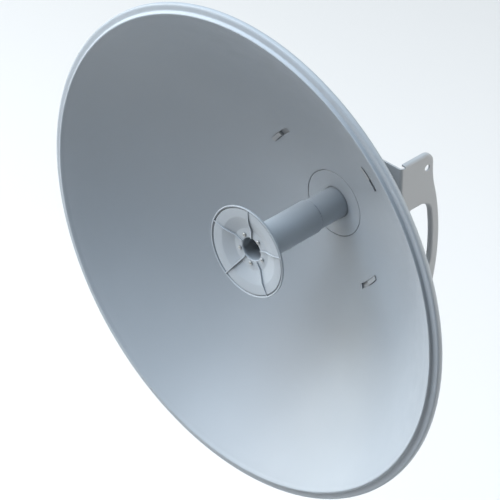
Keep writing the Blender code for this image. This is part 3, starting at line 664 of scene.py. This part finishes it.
def make_subreflector_screws():
    """Cross-head screws, one half way between each two ribs."""
    shape = filleted([(0, 9.5, 0), (2.1, 9.5, 0.5), (2.4, 10.4, 0.2), (2.4, 11.2, 0), (0, 11.2, 0)], 4)
    slit = filleted([(-1.3, -0.3, 0.1), (1.3, -0.3, 0.1), (1.3, 0.3, 0.1), (-1.3, 0.3, 0.1)], 2)
    for index in range(RIBS):
        a = math.radians(RIB_START + (index + 0.5) * 360 / RIBS)
        place = DISH + Vector((SUB_SCREW_R * math.cos(a), 0, SUB_SCREW_R * math.sin(a)))
        head = turned("screw", shape, SMALL)
        cut(head, *[spin(slab("drive", "y", slit, 9.0, 10.5, edge=0.05), turn) for turn in (0, 90)])
        finish_piece(head, f"subreflector_screw_head_{index + 1}", ZINC, "tilting_frame",
                     [f"subreflector_screw_{index + 1}"], place)


def make_tubes():
    """Sleeve, seal and collar, one behind the other round the waveguide."""
    bore = 18.0
    for part, node, finish, outline in (
            ("front", "feed_sleeve", PLASTIC,
             [(bore, 15.3, 0.3), (21.9, 15.3, 0.8), (21.9, 111.0, 0.5), (21.4, 112.0, 0.3),
              (bore, 112.0, 0.2)]),
            ("seal", "sleeve_seal", RUBBER,
             [(bore, 112.3, 0.1), (20.9, 112.3, 0.4), (20.9, 113.4, 0.4), (bore, 113.4, 0.1)]),
            ("rear", "feed_collar", PLASTIC,
             [(bore, 113.7, 0.3), (20.2, 113.7, 0.6), (20.2, 160.7, 0.4), (bore, 160.7, 0.3)])):
        finish_tilting(turned(part, filleted(outline, 4)), f"feed_tube_{part}", finish, node)


def make_hub_plate():
    inner, outer, edge = 20.6, HUB_HOLE - 0.6, 0.4
    steps = [inner + edge + (outer - inner - 2 * edge) * i / 8 for i in range(9)]
    loop = [over_bowl(inner, edge)] + [over_bowl(r, 0) for r in steps] + [over_bowl(outer, edge)]
    loop += [over_bowl(outer, SHEET - edge)] + [over_bowl(r, SHEET) for r in reversed(steps)]
    loop += [over_bowl(inner, SHEET - edge)]
    finish_tilting(turned("hub", loop), "hub_ring", PAINT, "hub_plate")


make_subreflector()
make_subreflector_screws()
make_tubes()
make_hub_plate()


# Dish bracket

FOLD_R = 4.0  # outside radius where the sheet is folded
LIP_R = 3.4  # the same at turned edges
BEND_STEPS = 6


def pan_y(x, z):
    """Front of the pan: flat at its corners, dished in the middle to seat the bowl's back."""
    seat = over_bowl(math.hypot(x, z), SEAT)[1]
    soft = 1.6  # how gently one turns into the other
    return PAN_Y + soft * math.log1p(math.exp((seat - PAN_Y) / soft))


def strip(bm, rows):
    """Faces between successive rows of points."""
    made = [[bm.verts.new(p) for p in row] for row in rows]
    for near, far in zip(made, made[1:]):
        for k in range(1, len(near)):
            bm.faces.new((near[k - 1], near[k], far[k], far[k - 1]))


def bend(radius):
    """(along, up) offsets of a quarter bend, from the flat face to the turned one."""
    return [(radius * math.sin(a), radius * (1 - math.cos(a)))
            for a in (math.pi / 2 * i / BEND_STEPS for i in range(BEND_STEPS + 1))]


def pan_sheet(bm):
    """The plate behind the bowl with its folds; gives the z levels of its sides."""
    flat_x, flat_z = CHEEK_X - FOLD_R, PAN_Z - FOLD_R
    inner = [-PAN_EDGE_X + 2 * PAN_EDGE_X * i / 42 for i in range(43)]
    outer = [PAN_EDGE_X + (flat_x - PAN_EDGE_X) * i / 5 for i in range(1, 6)]
    columns = [-x for x in reversed(outer)] + inner + outer
    levels = [-flat_z + 2 * flat_z * i / 46 for i in range(47)]
    strip(bm, [[(x, pan_y(x, z), z) for x in columns] for z in levels])
    for sign in (-1, 1):
        z = sign * flat_z
        path = [(sign * along, up) for along, up in bend(FOLD_R)]
        turn = [[(x, pan_y(x, z) + up, z + along) for x in inner] for along, up in path]
        turn.append([(x, PAN_EDGE_Y, sign * PAN_Z) for x in inner])
        strip(bm, turn)
        for side in (-1, 1):
            ears = [side * x for x in [PAN_EDGE_X] + outer]
            strip(bm, [[(x, pan_y(x, z), level) for x in ears] for level in (z, sign * PAN_Z)])
    heights = [-PAN_Z] + levels + [PAN_Z]
    for side in (-1, 1):
        strip(bm, [[(side * (flat_x + along), PAN_Y + up, z) for z in heights]
                   for along, up in bend(FOLD_R)])
    return heights


def quadratic(start, control, end, steps):
    start, control, end = map(Vector, (start, control, end))
    return [tuple(start.lerp(control, t).lerp(control.lerp(end, t), t))
            for t in (i / steps for i in range(steps + 1))]


def bulge():
    """Centre y and radius of the arc through the handle strip's rear edge."""
    rise = CHEEK_BULGE - CHEEK_REAR
    radius = (BULGE_Z ** 2 + rise ** 2) / (2 * rise)
    return CHEEK_BULGE - radius, radius


def turned_outline():
    """Top, rear and bottom edge of a cheek as (y, z) points, from one relief notch to the other."""
    centre, radius = bulge()
    corner, ease, notch = 15.0, 14.0, 7.6
    top = [(PAN_Y + notch + (CHEEK_REAR - corner - PAN_Y - notch) * i / 5, CHEEK_TOP)
           for i in range(5)]
    top += arc((CHEEK_REAR - corner, CHEEK_TOP - corner), corner, 90, 0, 12)
    limit = math.degrees(math.asin((BULGE_Z - ease) / radius))
    rear = arc((centre, 0), radius, limit, -limit, 36)
    top += quadratic((CHEEK_REAR, BULGE_Z + ease), (CHEEK_REAR, BULGE_Z), rear[0], 8)
    return top + rear[1:-1] + mirrored(top)


def beside(points, distance):
    """Open line moved to its right by distance."""
    moved = []
    for i, point in enumerate(points):
        before = Vector(point) - Vector(points[i - 1]) if i else Vector(points[1]) - Vector(point)
        after = Vector(points[i + 1]) - Vector(point) if i + 1 < len(points) else before
        right = before.normalized() + after.normalized()
        right = Vector((right.y, -right.x)).normalized()
        reach = right.dot(Vector((before.y, -before.x)).normalized())
        moved.append(tuple(Vector(point) + right * distance / reach))
    return moved


def window_outline():
    """D-shaped window in a cheek as (y, z) points."""
    centre, radius = bulge()
    radius -= STRIP
    tight, wide = WINDOW_CORNERS
    y = centre + math.sqrt((radius - wide) ** 2 - (WINDOW_Z - wide) ** 2)
    slant = math.degrees(math.atan2(WINDOW_Z - wide, y - centre))
    half = arc((WINDOW_FRONT + tight, WINDOW_Z - tight), tight, 180, 90, 10)
    half += arc((y, WINDOW_Z - wide), wide, 90, slant, 12)
    rear = arc((centre, 0), radius, slant * 0.95, -slant * 0.95, 24)
    return half + rear + mirrored(half)


def cheek_sheet(bm, side, heights):
    """One cheek: a flat face with its window and holes, and the edges turned in round both."""
    start = PAN_Y + FOLD_R
    notch = (PAN_Y + 5.6, PAN_Z + 1.2)
    relief = arc(notch, 2.0, 217, 318, 8)
    rim = turned_outline()
    flat_rim = beside(rim, LIP_R)
    upper = [(start, z) for z in heights] + relief
    window = turning(window_outline(), -1)
    y, z, hole_r = CHEEK_HOLE
    loops = [upper + flat_rim + mirrored(relief), inward(window, LIP_R), circle((y, z), hole_r),
             circle((y, -z), hole_r)]
    edges = []
    for loop in loops:
        verts = [bm.verts.new((side * CHEEK_X, *point)) for point in loop]
        edges += [bm.edges.new((verts[k - 1], verts[k])) for k in range(len(verts))]
    bmesh.ops.triangle_fill(bm, use_beauty=True, edges=edges)
    path = [(LIP_R - along, up) for along, up in bend(LIP_R)] + [(0.0, CHEEK_TURN)]
    strip(bm, [[(side * (CHEEK_X - depth), *p) for p in beside(rim, inset)] for inset, depth in path])
    rows = []
    for inset, depth in path:
        outline = inward(window, inset) if inset else window
        rows.append([(side * (CHEEK_X - depth), *p) for p in outline + outline[:1]])
    strip(bm, rows)


def bracket_sheet():
    bm = bmesh.new()
    heights = pan_sheet(bm)
    cheek_sheet(bm, 1, heights)
    cheek_sheet(bm, -1, heights)
    bmesh.ops.remove_doubles(bm, verts=bm.verts, dist=0.02)
    bracket = from_bmesh("bracket", bm)
    middle = Vector((0, PAN_Y * MM, 0))
    front = min(bracket.data.polygons, key=lambda face: (face.center - middle).length)
    if front.normal.y > 0:
        bracket.data.flip_normals()
    modify(bracket, "sheet", "SOLIDIFY", thickness=PLATE * MM, offset=-1.0, use_even_offset=True,
           use_quality_normals=True)
    modify(bracket, "eased edges", "BEVEL", width=0.35 * MM, segments=2, limit_method="ANGLE",
           angle_limit=math.radians(50))
    return apply_modifiers(bracket)


def make_hooks():
    """Bayonet hooks that reach through the bowl's slots and lie over its front."""
    low, high = SLOT_R - HOOK_HALF, SLOT_R + HOOK_HALF
    proud, clear, deep = -1.7, -0.5, SEAT + 1.2
    top = [over_bowl(low, proud + 0.5), over_bowl(low + 0.5, proud), over_bowl(high - 0.5, proud),
           over_bowl(high, proud + 0.5)]
    made = []
    for angle in SLOTS:
        end = angle + SLOT_HALF
        stem = sector(top + [over_bowl(high, deep), over_bowl(low, deep)], angle + 0.5, end - 0.4)
        tip = sector(top + [over_bowl(high, clear), over_bowl(low, clear)], end - 0.8, end + 2.2, 4)
        made.append(join(stem, tip))
    return made


def make_bracket():
    bracket = bracket_sheet()
    cut(bracket, rod((0, 120, 0), (0, 1, 0), HOUSING_HOLE, 60, TUBE),
        *[rod((x, 140, z), (0, 1, 0), 2.8, 40) for x, z in FLANGE_POINTS])
    join(bracket, *make_hooks())
    finish_tilting(bracket, "rear_bracket", BRACKET_PAINT, "dish_bracket", sharp=40, weighted=True)


make_bracket()


# Fasteners

def thread(radius, start, stop, pitch):
    """Rings of a thread from start to stop along the bar, cut as grooves."""
    inner = radius - 0.55 * pitch
    turns = int(abs(stop - start) / pitch)
    step = (stop - start) / turns
    made = []
    for k in range(turns):
        base = start + k * step
        made += [ring(radius, base), ring(radius, base + step * 0.15), ring(inner, base + step * 0.5),
                 ring(inner, base + step * 0.62)]
    return made + [ring(radius, stop)]


def bolt(name, node, body, start, axis, size, length, threaded, high=None, across=HEAD_WIDE):
    """Hex bolt: start is under its head, and the shank runs along axis."""
    radius, pitch = size
    high = high or radius * HEAD_HIGH
    wide = radius * across
    rings = [ring(0, length), ring(radius - pitch * 0.6, length)]
    rings += thread(radius, length - pitch * 0.7, length - threaded, pitch)
    rings += [ring(radius, 0.6), ring(radius + 0.25, 0.0), ring(wide * 0.95, 0.0),
              hexed(wide, -0.3, -0.1), hexed(wide, -high + 0.1, -wide * 0.13),
              ring(wide * 0.93, -high), ring(wide * 0.6, -high), ring(wide * 0.55, -high + 0.35),
              ring(0, -high + 0.35)]
    finish_piece(spun("bolt", rings, start, axis), name, ZINC, body, [node])


def nut(name, node, body, start, axis, size):
    """Hex nut whose near face is at start."""
    radius = size[0]
    high, wide, bore = radius * NUT_HIGH, radius * HEAD_WIDE, radius + 0.08
    rings = [ring(bore + 0.5, 0), ring(wide * 0.94, 0), hexed(wide, 0.15, -wide * 0.12),
             hexed(wide, high - 0.15, wide * 0.12), ring(wide * 0.94, high), ring(bore + 0.5, high),
             ring(bore, high - 0.5), ring(bore, 0.5)]
    finish_piece(spun("nut", rings, start, axis, closed=True), name, ZINC, body, [node])


def make_fasteners():
    """Bolts and nuts at their CAD nodes' places, a gap away from the plates they hold."""
    right, left, down, front = (1, 0, 0), (-1, 0, 0), (0, 0, -1), (0, -1, 0)
    side_low, side_high = box("side_plate")
    for label in ("upper", "lower"):
        low, high = box(f"cheek_bolt_{label}")
        _, y, z = (low + high) / 2
        bolt(f"cheek_{label}_bolt", f"cheek_bolt_{label}", "tilting_frame", (side_low.x - GAP, y, z),
             right, M8, 17.0, 12.0)
        nut(f"cheek_{label}_nut", f"cheek_nut_{label}", "tilting_frame",
            (box(f"cheek_nut_{label}")[0].x, y, z), right, M8)
    head = box("azimuth_yoke")[1].x - MOUNT_PLATE - GAP
    for label, size, z in (("pivot", M10, TILT.z), ("lock", M8, TILT.z + EL_LOCK_R)):
        node = f"elevation_{label}_bolt"
        bolt(f"{node}_steel", node, "tilting_frame", (head, 0, z), right, size, 19.5, 10.0)
        node = f"elevation_{label}_nut"
        nut(f"{node}_steel", node, "tilting_frame", (side_high.x + GAP, 0, z), right, size)
    for label, size, x, length, threaded in (("pivot", M10, SWIVEL.x, 68.0, 14.0),
                                             ("lock", M8, SWIVEL.x + AZ_LOCK_R, 17.0, 9.0)):
        node = f"azimuth_{label}_bolt"
        bolt(f"{node}_steel", node, "azimuth_arm", (x, 0, box(node)[1].z - size[0] * HEAD_HIGH), down,
             size, length, threaded)
        node = f"azimuth_{label}_nut"
        nut(f"{node}_steel", node, "azimuth_arm", (x, 0, box(node)[1].z), down, size)
    back = VEE_APEX + VEE_WALL + BACK_PLATE + GAP
    reach = back - box("clamp_bolt_upper_front")[0].x
    for label, z in (("upper", CLAMP_Z), ("lower", -CLAMP_Z)):
        for end, y in (("front", -CLAMP_Y), ("rear", CLAMP_Y)):
            bolt(f"clamp_{label}_{end}_bolt", f"clamp_bolt_{label}_{end}", "pole_clamp", (back, y, z),
                 left, M10, reach, 62.0)
            nut(f"clamp_{label}_{end}_nut", f"clamp_nut_{label}_{end}", f"{label}_jaw", (-back, y, z),
                left, M10)
    for index, (x, z) in enumerate(FLANGE_POINTS):
        node = f"housing_screw_{index + 1}"
        bolt(f"{node}_steel", node, "tilting_frame", DISH + Vector((x, HOUSING_FLANGE + GAP, z)),
             front, M5, 7.0, 5.0, high=3.0)
    for index in range(4):
        node = f"cover_screw_{index + 1}"
        low, high = box(node)
        x, _, z = (low + high) / 2
        bolt(f"{node}_steel", node, "tilting_frame", (x, high.y - 1.5, z), front, M3, 7.0, 5.0,
             high=1.5, across=1.7)


# Pole mount

def vee_outline(side):
    """Section of a pole clamp half as (x, y): a welded V on a back plate, on the +x or -x side."""
    back = VEE_APEX + VEE_WALL
    step = VEE_WALL / math.sqrt(2)
    tip = VEE_APEX - VEE_DEPTH
    half = [(tip, VEE_DEPTH, 1.2), (tip + step, VEE_DEPTH + step, 1.2),
            (back, 2 * step - VEE_WALL + 1.4, 2.2), (back, VEE_HALF_Y, 1.0),
            (back + BACK_PLATE, VEE_HALF_Y, 1.0)]
    return [(side * x, y) for x, y in filleted([(VEE_APEX, 0, 1.5)] + half + mirrored(half), 5)]


def clamp_holes(levels):
    return [rod((70, y, z), (-1, 0, 0), CLAMP_R + 0.4, 140)
            for y in (-CLAMP_Y, CLAMP_Y) for z in levels]


def weld(x, half, z):
    """Weld bead from y -half to half: a bar whose radius ripples along its length."""
    length = 2 * half
    ripples = int(length / 1.6)
    rings = [ring(0, 0), ring(WELD_R * 0.7, 0.1)]
    for k in range(ripples * 4):
        t = k / (ripples * 4)
        swell = 0.86 + 0.14 * abs(math.sin(math.pi * ripples * t))
        rings.append(ring(WELD_R * swell, 0.5 + t * (length - 1)))
    rings += [ring(WELD_R * 0.7, length - 0.1), ring(0, length)]
    return spun("weld", rings, (x, -half, z), (0, 1, 0), steps=16)


def arc_slot(centre, radius, half_width, middle, limit):
    """Outline of a slot with round ends along a circle; angles in degrees from the first axis."""
    outline = []
    for side, begin in ((1, middle + limit), (-1, middle - limit + 180)):
        turn = side * limit
        outline += arc(centre, radius + side * half_width, middle - turn, middle + turn, 16)
        a = math.radians(middle + turn)
        spot = (centre[0] + radius * math.cos(a), centre[1] + radius * math.sin(a))
        outline += arc(spot, half_width, begin, begin + 180, 10)[1:-1]
    return outline


def make_saddle():
    body = slab("saddle", "z", vee_outline(1), -SADDLE_HALF_Z, SADDLE_HALF_Z, edge=0.8)
    centre, root = (SWIVEL.x, 0), 45.5
    inner, outer = SADDLE_LUG
    slot = arc_slot(centre, AZ_LOCK_R, LOCK_SLOT, 0, AZ_SWING + 1)
    pivot = circle(centre, PIVOT_HOLE)
    upper = [(root, -17)] + arc(centre, AZ_LOCK_R + 10, -32, 32, 16) + [(root, 17)]
    lower = [(root, -13)] + arc(centre, 13, -90, 90, 16) + [(root, 13)]
    join(body, slab("lug", "z", upper, inner, outer, [slot, pivot], 0.5),
         slab("lug", "z", lower, -outer, -inner, [pivot], 0.5))
    face = VEE_APEX + VEE_WALL + BACK_PLATE
    join(body, weld(face, 16, outer), weld(face, 12.5, -outer))
    cut(body, *clamp_holes((-CLAMP_Z, CLAMP_Z)))
    finish_plate(body, "clamp_saddle", "pole_clamp", "pole_saddle")


def make_jaws():
    for label, sign in (("upper", 1), ("lower", -1)):
        low, high = sorted(sign * level for level in JAW_LEVELS)
        body = slab("jaw", "z", vee_outline(-1), low, high, edge=0.8)
        cut(body, *clamp_holes((sign * CLAMP_Z,)))
        finish_plate(body, f"{label}_clamp_jaw", f"{label}_jaw", f"clamp_jaw_{label}")


def make_yoke():
    far = box("azimuth_yoke")[1]
    face = far.x - MOUNT_PLATE
    slot = arc_slot((0, TILT.z), EL_LOCK_R, LOCK_SLOT, 90, EL_SWING + 0.8)
    body = slab("yoke", "x", rounded_box(far.y, far.z, 12, 10), face, far.x,
                [slot, circle((0, TILT.z), PIVOT_HOLE)], 0.6)
    holes = [circle((SWIVEL.x, 0), PIVOT_HOLE), circle((SWIVEL.x + AZ_LOCK_R, 0), LOCK_HOLE)]
    neck = SWIVEL.x + 19
    lug = [(face + 1, -22), (face + 1, 22), (neck, 20)] + arc((SWIVEL.x, 0), 11, 70, 290, 20)
    lug += [(neck, -20)]
    inner, outer = YOKE_LUG
    join(body, slab("lug", "z", lug, inner, outer, holes, 0.5),
         slab("lug", "z", lug, -outer, -inner, holes, 0.5))
    join(body, *[weld(face, 21, z) for z in (-outer, -inner, inner, outer)])
    finish_plate(body, "azimuth_bracket", "azimuth_arm", "azimuth_yoke")


def make_side_plate():
    low, high = box("side_plate")
    y, z = CHEEK_HOLE[0] + DISH.y, CHEEK_HOLE[1]
    half = [(-42, 54, 14), (-66, 84, 12), (-66, high.z, 9), (y + 13, high.z, 9), (14, 56, 10),
            (16, 50, 6)]
    holes = [circle((y, level), CHEEK_HOLE[2]) for level in (-z, z)]
    holes += [circle((0, TILT.z), PIVOT_HOLE), circle((0, TILT.z + EL_LOCK_R), LOCK_HOLE),
              filleted([(-30, -24, 8), (-14, -24, 8), (-14, 24, 8), (-30, 24, 8)], 8)]
    plate = slab("side", "x", filleted(half + mirrored(half), 8), low.x, high.x, holes, 0.6)
    finish_plate(plate, "tilt_plate", "tilting_frame", "side_plate")


make_fasteners()
make_saddle()
make_jaws()
make_yoke()
make_side_plate()


# Feed housing

def corners(spot):
    return [(x, z) for x in (-spot, spot) for z in (-spot, spot)]


def port_holes(start, radius):
    """Tools for the holes of both ports, from start outwards."""
    return [rod((0, PORT_Y, -start), (0, 0, -1), radius, 8),
            rod((-start, PORT_Y, 0), (-1, 0, 0), radius, 8)]


def make_housing():
    front, rear, half, wall, bevel = 161.0, 196.0, 32.0, 3.5, 8
    body = turned("housing", filleted([(0, front, 0), (46, front, 0.8), (46, HOUSING_FLANGE, 0.8),
                                       (0, HOUSING_FLANGE, 0)], 4))
    shell = slab("shell", "y", rounded_box(half, half, 5), front + 1, rear, edge=0.8)
    web = [(20, 163), (44.5, 163), (44.5, 165.6), (33, 174), (20, 174)]
    join(body, shell, *[spin(slab("gusset", "z", web, -1.2, 1.2, edge=0.5), 22.5 + 45 * index)
                        for index in range(8)])
    room = half - wall
    near = room - bevel
    octagon = [(room, near), (near, room), (-near, room), (-room, near), (-room, -near),
               (-near, -room), (near, -room), (room, -near)]
    octagon = filleted([(x, z, 3) for x, z in octagon], 4)
    cut(body, slab("cavity", "y", octagon, 170.0, rear + 1, edge=0.8),
        rod((0, front - 1, 0), (0, 1, 0), 18.0, 12, TUBE), *port_holes(room - 2, 3.3),
        *[rod((x, front - 1, z), (0, 1, 0), 2.6, 8) for x, z in FLANGE_POINTS],
        *[rod((x, rear - 9, z), (0, 1, 0), 1.6, 10) for x, z in corners(half - 5)])
    finish_tilting(body, "polariser_housing", CAST, "feed_housing", weighted=True)


def make_cover():
    low, high = (corner - DISH for corner in box("housing_cover"))
    cover = slab("cover", "y", rounded_box(high.x, high.x, 5), low.y, high.y, edge=0.7)
    tools = []
    for x, z in corners(high.x - 5):
        tools += [rod((x, low.y - 1, z), (0, 1, 0), 1.8, 8),
                  rod((x, high.y - 2.1, z), (0, 1, 0), 3.3, 4)]
    cut(cover, *tools)
    finish_tilting(cover, "polariser_cover", CAST, "housing_cover", weighted=True)


def make_connector(label, direction):
    """Threaded jack: hex root, gold-plated barrel, white dielectric and its centre contact."""
    root, wall, reach = 28.4, 32.3, 12.0
    start = DISH + Vector((0, PORT_Y, 0))
    barrel = [ring(2.9, root), ring(2.9, wall), hexed(4.6, wall), hexed(4.6, wall + 2.2, 0.5),
              ring(4.1, wall + 2.4), ring(3.2, wall + 2.4), ring(2.75, wall + 2.8),
              ring(2.75, wall + 3.4)]
    barrel += thread(3.2, wall + 3.8, wall + reach - 0.4, 0.7)
    barrel += [ring(2.9, wall + reach), ring(2.45, wall + reach), ring(2.4, wall + reach - 0.4),
               ring(2.4, wall + 7.0), ring(2.0, wall + 7.0), ring(2.0, root)]
    core = [ring(0.9, wall + 1), ring(1.95, wall + 1), ring(1.95, wall + 9.3), ring(1.7, wall + 9.6),
            ring(0.9, wall + 9.6)]
    pin = [ring(0, wall + 1.2), ring(0.6, wall + 1.2), ring(0.6, wall + 10.4), ring(0.3, wall + 11.0),
           ring(0, wall + 11.0)]
    for part, rings, finish, nodes, closed, steps in (
            ("jack", barrel, BRASS, [f"connector_{label}"], True, SMALL),
            ("dielectric", core, DIELECTRIC, [], True, SMALL), ("contact", pin, BRASS, [], False, 24)):
        finish_piece(spun(part, rings, start, direction, closed, steps), f"{label}_port_{part}", finish,
                     "tilting_frame", nodes)


def make_waveguide():
    loop = filleted([(0, 187, 0), (15.5, 187, 0.5), (15.5, 46, 0.3), (17.6, 46, 0.5), (17.6, 190, 0.5),
                     (0, 190, 0)], 4)
    guide = cut(turned("guide", loop), *port_holes(12.5, 1.3))
    finish_tilting(guide, "wave_guide_tube", CAST, "waveguide")


def finish_cad_nodes():
    """The two probe pins keep their CAD shape and take the plated finish."""
    for node in ("probe_vertical", "probe_horizontal"):
        pin = frame["nodes"][node]
        pin.data.materials.clear()
        pin.data.materials.append(BRASS.mat)


make_housing()
make_cover()
make_connector("vertical", (0, 0, -1))
make_connector("horizontal", (-1, 0, 0))
make_waveguide()
finish_cad_nodes()


# Stage

def look_at_dish(obj, azimuth, elevation, distance):
    """Put a camera or light in a direction round the dish, facing it."""
    a, e = math.radians(azimuth), math.radians(elevation)
    back = Vector((math.sin(a) * math.cos(e), -math.cos(a) * math.cos(e), math.sin(e)))
    obj.location = DISH * MM + back * distance
    obj.rotation_mode = "QUATERNION"
    obj.rotation_quaternion = (-back).to_track_quat("-Z", "Y")


def make_camera():
    """A long lens, moved aside so that the dish sits where it should in the picture."""
    data = bpy.data.cameras.new("camera")
    data.sensor_width = 36.0
    data.lens = 432.0
    data.clip_end = 200.0
    camera = add_object("camera", data)
    look_at_dish(camera, 44.84, 33.88, 7.2205)
    camera.location += camera.rotation_quaternion @ Vector((0.00638, 0.00373, 0.0))
    bpy.context.scene.camera = camera


def softbox(name, azimuth, elevation, power, colour, distance=3.8, size=3.6):
    """Square soft light aimed at the dish from a direction round it."""
    data = bpy.data.lights.new(name, "AREA")
    data.shape = "SQUARE"
    data.size = size
    data.energy = power
    data.color = colour
    look_at_dish(add_object(name, data), azimuth, elevation, distance)


def make_stage():
    height, reach = -1.1, 60.0
    mesh = bpy.data.meshes.new("floor")
    mesh.from_pydata([(x, y, 0) for y in (-reach, reach) for x in (-reach, reach)], [], [(0, 1, 3, 2)])
    floor = add_object("floor", mesh)
    floor.location.z = height
    finish = Finish("pale floor", None, 0.9, specular=0.1)
    finish.colour(finish.mix(finish.noise(0.8), (0.645, 0.635, 0.63), (0.665, 0.655, 0.65)))
    mesh.materials.append(finish.mat)


def make_world():
    world = bpy.data.worlds.new("studio")
    world.use_nodes = True
    sky = world.node_tree.nodes["Background"]
    sky.inputs["Color"].default_value = (1.0, 1.0, 1.0, 1.0)
    sky.inputs["Strength"].default_value = 0.045
    bpy.context.scene.world = world
    bpy.context.scene.view_settings.view_transform = "Standard"


make_camera()
make_stage()
make_world()
softbox("key", 315, 62, 268, (0.70, 0.85, 1.0))
softbox("fill", 315, 40, 55, (1.0, 0.80, 0.66))
softbox("left", 285, 20, 165, (0.98, 1.0, 0.96))
softbox("right", 135, 10, 130, (1.0, 1.0, 0.98))
softbox("top", 175, 72, 24, (0.86, 0.95, 1.0), distance=3.4, size=2.0)
